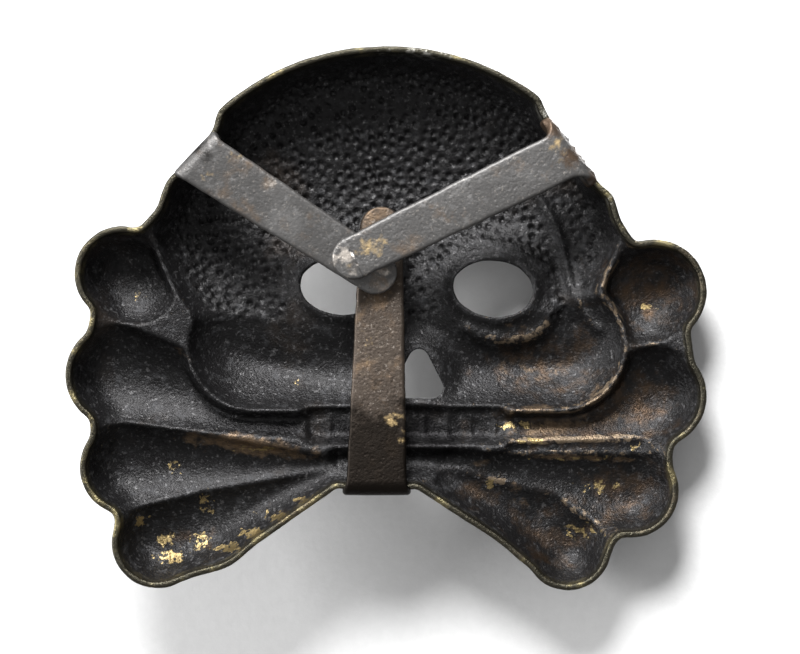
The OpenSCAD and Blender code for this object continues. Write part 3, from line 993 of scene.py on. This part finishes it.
def prong_mesh(name, side, run, lean, length, flare, seed):
    """A strip swept from its leg in the sheet, round the fold and out to its round end,
    with each point's place in the drawing, its run past the fold, and its outer side."""
    middle, normal, root, _ = FOLDS[side]
    yaw, dip = math.radians(run - normal), math.radians(lean)
    leg = np.linspace(-LEG, 0, LEG_STEPS + 1)[:-1]
    turn = np.linspace(0, math.pi / 2 + dip, BEND_STEPS + 1)
    reach = length - BEND_R
    even = np.arange(STATION, reach - TIP_HALF, STATION)
    round_end = reach - TIP_HALF + TIP_HALF * np.sin(np.linspace(0, math.pi / 2, TIP_STEPS + 1)[:-1])
    along = np.concatenate([even, round_end, [reach - END_GAP]])
    ahead = np.array([math.cos(yaw) * math.cos(dip), math.sin(yaw), -math.cos(yaw) * math.sin(dip)])
    raised = np.array([math.sin(dip), 0, math.cos(dip)])
    aside = np.cross(raised, ahead)

    tucked = TUCK * (leg / LEG) ** 2
    centres = [np.column_stack([SHEET / 2 + tucked, 0 * leg, leg])]
    ups = [np.tile([-1.0, 0, 0], (len(leg), 1))]
    outs = np.column_stack([-np.cos(turn), 0 * turn, np.sin(turn)])
    centres.append([BEND_R, 0, 0] + BEND_MIDDLE * outs)
    ups.append(outs)
    centres.append([BEND_R, 0, 0] + BEND_MIDDLE * raised + along[:, None] * ahead)
    ups.append(np.tile(raised, (len(along), 1)))
    centres, ups = np.vstack(centres), np.vstack(ups)
    before = len(leg) + len(turn)
    quarter = math.pi / 2
    run_length = np.concatenate([leg - BEND_MIDDLE * quarter, BEND_MIDDLE * (turn - quarter), along])
    sides = np.tile([0.0, 1.0, 0.0], (len(centres), 1))
    part = smooth(0, STRAIGHTENS, along)[:, None]
    sides[before:] = (1 - part) * sides[before:] + part * aside
    sides /= np.linalg.norm(sides, axis=1)[:, None]

    half = root / 2 + (TIP_HALF - root / 2) * unit(run_length / (reach - TIP_HALF))
    half = half + flare * (1 - smooth(*FLARE_FADES, run_length)) ** 1.5
    wobble = [
        noise.noise((seed, station * 0.9, 0)) + 0.5 * noise.noise((seed, station * 2.7, 3))
        for station in run_length
    ]
    half = half + WANDER * np.array(wobble) * smooth(0.0, 1.0, run_length)
    past = np.maximum(run_length - (reach - TIP_HALF), 0)
    half = half * np.sqrt(np.maximum(1 - (past / TIP_HALF) ** 2, 0.002))
    thick = STRIP * (1 - TIP_THINS * smooth(0.9, 1.0, past / TIP_HALF))
    across, up = rounded_section(half, thick)
    crown = CROWN * (1 - (across / np.maximum(half, 0.2)[:, None]) ** 2)
    up = up + crown * np.sign(up)
    points = centres[:, None] + across[..., None] * sides[:, None] + up[..., None] * ups[:, None]
    stations, ring = points.shape[:2]
    flat = points.reshape(-1, 3)
    # The two ends close on a point each
    flat = np.vstack([flat, points[0].mean(axis=0), points[-1].mean(axis=0)])
    across_fold, along_fold = heading(normal), heading(normal + 90)
    x = middle[0] + flat[:, 0] * across_fold[0] + flat[:, 1] * along_fold[0]
    y = middle[1] + flat[:, 0] * across_fold[1] + flat[:, 1] * along_fold[1]
    index = np.arange(stations * ring).reshape(stations, ring)
    after = np.roll(index, -1, axis=1)
    quads = np.stack([index[:-1], index[1:], after[1:], after[:-1]], axis=-1).reshape(-1, 4)
    faces = np.vstack([quads[:, [0, 1, 2]], quads[:, [0, 2, 3]]])
    first = np.column_stack([index[0], after[0], np.full(ring, stations * ring)])
    last = np.column_stack([after[-1], index[-1], np.full(ring, stations * ring + 1)])
    faces = np.vstack([faces, first, last])
    frame_points = to_frame(x, y, flat[:, 2])
    corners = frame_points[faces]
    volume = np.einsum("ij,ij->i", corners[:, 0], np.cross(corners[:, 1], corners[:, 2])).sum()
    if volume < 0:
        faces = faces[:, ::-1]
    mesh = plain_mesh(name, frame_points, faces)
    station_run = np.concatenate([np.repeat(run_length, ring), run_length[[0, -1]]])
    outer = np.concatenate([(up > 0).ravel(), [False, False]])
    return mesh, x, y, station_run, outer


WARM_STAIN = (0.2, 0.13, 0.075)
RUBBED = (0.62, 0.56, 0.5)
GILT = (0.55, 0.4, 0.2)
# Painted shade: near-black laid on the strips towards their folds, where the bend turns away from the
# light.
FOLD_SHADE = (0.011, 0.009, 0.0075)


def worn_metal(name, dark, mid, light, warmth):
    """Bare strip metal: grey-brown, with warm stains and rubbed bright spots, darkened with painted shade
    towards its folds and along its raised edges.
    """
    material, tree, skin, place = new_material(name)
    # The raised edges get painted shade, laid darker to dim the highlight that their rounding catches.
    crest = ranged(tree, marked(tree, "crest"), 0.6, 1.0)
    # Blotches: scale, shift, cover, softness
    broad, fine, warm, gilt, bright, fold_shade, bronzed, speckle, edge_shade = (
        use(tree, mottle, Place=place, Scale=scale, Shift=shift, Cover=cover, Softness=softness)
        for scale, shift, cover, softness in (
            (0.35, 5.0, 0.5, 0.3),
            (2.6, 17.0, 0.5, 0.3),
            (0.7, 29.0, warmth, 0.22),
            (2.0, 37.0, marked(tree, "gilded"), 0.3),
            (2.6, 43.0, marked(tree, "rubbed"), 0.3),
            (0.8, 71.0, marked(tree, "fold_shade"), 0.35),
            (1.2, 89.0, marked(tree, "bronzed"), 0.3),
            (6.0, 83.0, 0.4, 0.2),
            (2.2, 53.0, crest, 0.25),
        )
    )
    specks = use(tree, dust, Place=place, Scale=2.3, Speck_Size=0.13, Share=0.25)
    # Coats in the order in which they lie: mask, how much it covers, colour. The fold shade and the
    # darkened edges are painted shade.
    colour = over(tree, broad, dark, mid)
    for mask, share, coat in (
        (fine, 0.55, light), (warm, 0.5, WARM_STAIN), (speckle, 0.25, RUBBED), (specks, 0.35, RUBBED),
        (edge_shade, 0.6, dark), (bronzed, 1.0, BRONZE), (fold_shade, 0.95, FOLD_SHADE), (gilt, 0.75, GILT),
        (bright, 0.85, RUBBED),
    ):
        colour = over(tree, maths(tree, "MULTIPLY", mask, share), colour, coat)
    tree.links.new(colour, skin["Base Color"])
    # Metal rises under the painted fold shade, which dims the sheen there as well.
    tree.links.new(maths(tree, "MULTIPLY_ADD", fold_shade, 0.28, 0.7), skin["Metallic"])
    dulled = maths(tree, "MULTIPLY_ADD", fine, 0.14, 0.48)
    tree.links.new(maths(tree, "MULTIPLY_ADD", bright, -0.12, dulled), skin["Roughness"])
    rough = use(tree, grain, Place=place, Grain_Scale=7.0, Pit_Scale=4.5, Pit_Share=0.4)
    bump = add(tree, "ShaderNodeBump", {"Height": rough, "Strength": 0.45, "Distance": 0.00005})
    tree.links.new(bump.outputs[0], skin["Normal"])
    return material


upper_metal = worn_metal(
    "upper_prong_metal", (0.095, 0.092, 0.09), (0.165, 0.161, 0.158), (0.235, 0.231, 0.23), 0.46
)
lower_metal = worn_metal(
    "lower_prong_metal", (0.045, 0.034, 0.026), (0.09, 0.066, 0.047), (0.125, 0.098, 0.072), 0.5
)

# Each strip's direction, lean into the hollow, length, widening and roughness at
# its root, metal, and the spots of its finish and of painted shade at its fold: centre, size, strength
PRONGS = {
    "right": {
        "run": 206.0, "lean": 0.0, "length": 12.9, "flare": 0.8, "rough_root": 0.9, "metal": upper_metal,
        "gilded": [
            ((-0.8, 3.5), (1.0, 0.7), 0.9), ((8.2, 8.3), (0.8, 1.2), 0.66), ((-1.9, 2.3), (0.7, 0.5), 0.6),
        ],
        "bronzed": [
            ((9.1, 8.0), (0.9, 0.9), 1.1), ((8.0, 9.4), (1.0, 0.9), 1.3), ((10.2, 6.6), (0.9, 0.9), 1.2),
        ],
        "rubbed": [((-2.1, 2.95), (0.7, 0.6), 1.1), ((-1.4, 2.2), (0.9, 0.35), 0.6)],
        "fold_shade": [((9.0, 6.6), (1.4, 0.5), 0.7)],
    },
    "left": {
        "run": -33.0, "lean": 4.5, "length": 11.6, "flare": 0.12, "rough_root": 0.0, "metal": upper_metal,
        "gilded": [((-7.3, 7.8), (0.5, 0.5), 0.75), ((-8.6, 6.9), (0.8, 0.4), 0.66)],
        "bronzed": [],
        "rubbed": [((-5.6, 6.6), (1.2, 0.7), 0.6), ((-0.4, 2.2), (0.8, 0.8), 0.7)],
        "fold_shade": [((-9.4, 8.2), (1.5, 1.1), 0.95)],
    },
    "lower": {
        "run": 89.0, "lean": 9.0, "length": 14.1, "flare": 0.2, "rough_root": 0.0, "metal": lower_metal,
        "gilded": [
            ((0.3, -4.7), (0.6, 0.6), 0.66), ((0.85, -5.4), (0.35, 1.6), 0.6),
            ((-0.9, -1.2), (0.4, 1.6), 0.55),
        ],
        "bronzed": [],
        "rubbed": [((-0.2, 5.2), (0.5, 0.5), 0.5)],
        "fold_shade": [((-0.5, -7.2), (3.0, 3.6), 1.75), ((-0.45, -8.9), (2.6, 1.2), 3.0)],
    },
}
STRIP_REACH = 10
STRIP_UNEVENNESS = 0.00002
FIRST_SEED = 20

for number, (side, about) in enumerate(PRONGS.items()):
    mesh, x, y, run_length, outer = prong_mesh(
        side + "_prong_strip", side, about["run"], about["lean"], about["length"],
        about["flare"], 10.0 * number + 4.2,
    )
    mark(mesh, "stippled", -about["rough_root"] * (1 - smooth(-0.75, -0.1, run_length)) * outer)
    for label in ("gilded", "rubbed", "fold_shade", "bronzed"):
        mark(mesh, label, spotted(x, y, about[label]))
    prong = pressed_piece(
        side + "_prong_strip", mesh, about["metal"],
        Unevenness=STRIP_UNEVENNESS, Seed=FIRST_SEED + number,
    )
    mark_crests(prong.data, STRIP_REACH)
    middle, normal, _, _ = FOLDS[side]
    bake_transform(prong)
    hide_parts(side + "_prong")

# ---------------------------------------------------------------------------
# Backdrop, light and camera
# The badge lies on its face in front of a plain pale backdrop, seen from behind.
# The backdrop is one-sided, so the face can be seen through it from the front.

FLOOR_HALF = 0.6
FLOOR_SLOPE = (-0.2, -0.02)
FLOOR_CLEAR = 0.0002
shell_skin = np.array([vertex.co for vertex in shell.data.vertices])
touch = (shell_skin[:, 1] - shell_skin[:, [0, 2]] @ FLOOR_SLOPE).min() - FLOOR_CLEAR
corners = np.array([
    (x * FLOOR_HALF, touch + FLOOR_HALF * (FLOOR_SLOPE[0] * x + FLOOR_SLOPE[1] * z), z * FLOOR_HALF)
    for x, z in ((-1, -1), (-1, 1), (1, 1), (1, -1))
])
floor = bpy.data.objects.new("backdrop", plain_mesh("backdrop", corners, np.array([[0, 1, 2, 3]])))
bpy.context.scene.collection.objects.link(floor)
paper, tree, skin, place = new_material("pale_paper")
fibres = use(tree, grain, Place=place, Grain_Scale=2.2, Pit_Scale=1.2, Pit_Share=0.1)
tree.links.new(over(tree, fibres, (0.66, 0.66, 0.66), (0.74, 0.74, 0.74)), skin["Base Color"])
skin["Roughness"].default_value = 0.9
bump = add(tree, "ShaderNodeBump", {"Height": fibres, "Strength": 0.25, "Distance": 0.00006})
tree.links.new(bump.outputs[0], skin["Normal"])
behind = add(tree, "ShaderNodeNewGeometry").outputs["Backfacing"]
clear = add(tree, "ShaderNodeBsdfTransparent").outputs[0]
principled = next(node for node in tree.nodes if node.type == "BSDF_PRINCIPLED")
output = next(node for node in tree.nodes if node.type == "OUTPUT_MATERIAL")
one_sided = add(tree, "ShaderNodeMixShader", {0: behind, 1: principled.outputs[0], 2: clear})
tree.links.new(one_sided.outputs[0], output.inputs["Surface"])
floor.data.materials.append(paper)
for ray in ("visible_diffuse", "visible_glossy", "visible_transmission", "visible_shadow"):
    setattr(floor, ray, False)

world = bpy.data.worlds.new("soft_white")
world.use_nodes = True
world.node_tree.nodes["Background"].inputs["Color"].default_value = (1.0, 1.0, 1.0, 1.0)
world.node_tree.nodes["Background"].inputs["Strength"].default_value = 0.42
bpy.context.scene.world = world


def softbox(name, place, size, power):
    """A round soft light aimed at the badge."""
    light = bpy.data.lights.new(name, "AREA")
    light.shape = "DISK"
    light.size = size
    light.energy = power
    lamp = bpy.data.objects.new(name, light)
    bpy.context.scene.collection.objects.link(lamp)
    lamp.location = place
    lamp.rotation_mode = "QUATERNION"
    lamp.rotation_quaternion = (-Vector(place)).to_track_quat("-Z", "Y")


softbox("light_above", (0.035, 0.11, 0.155), 0.09, 1.0)
softbox("light_low", (0.16, 0.035, 0.03), 0.09, 0.36)
softbox("light_front", (-0.08, -0.2, 0.16), 0.12, 0.8)

CAMERA_AWAY = 0.14
CAMERA_ASIDE = (-0.00068, -0.00043)
SEEN_WIDTH = 0.03864
centre = (cad_low + cad_high) / 2
camera_data = bpy.data.cameras.new("camera")
camera_data.sensor_width = 36.0
camera_data.lens = camera_data.sensor_width * CAMERA_AWAY / SEEN_WIDTH
camera_data.clip_start = 0.01
camera_data.clip_end = 5.0
camera = bpy.data.objects.new("camera", camera_data)
bpy.context.scene.collection.objects.link(camera)
camera.location = (centre.x + CAMERA_ASIDE[0], CAMERA_AWAY, centre.z + CAMERA_ASIDE[1])
camera.rotation_euler = (math.radians(90), 0, math.radians(180))
bpy.context.scene.camera = camera
bpy.context.scene.view_settings.view_transform = "Standard"
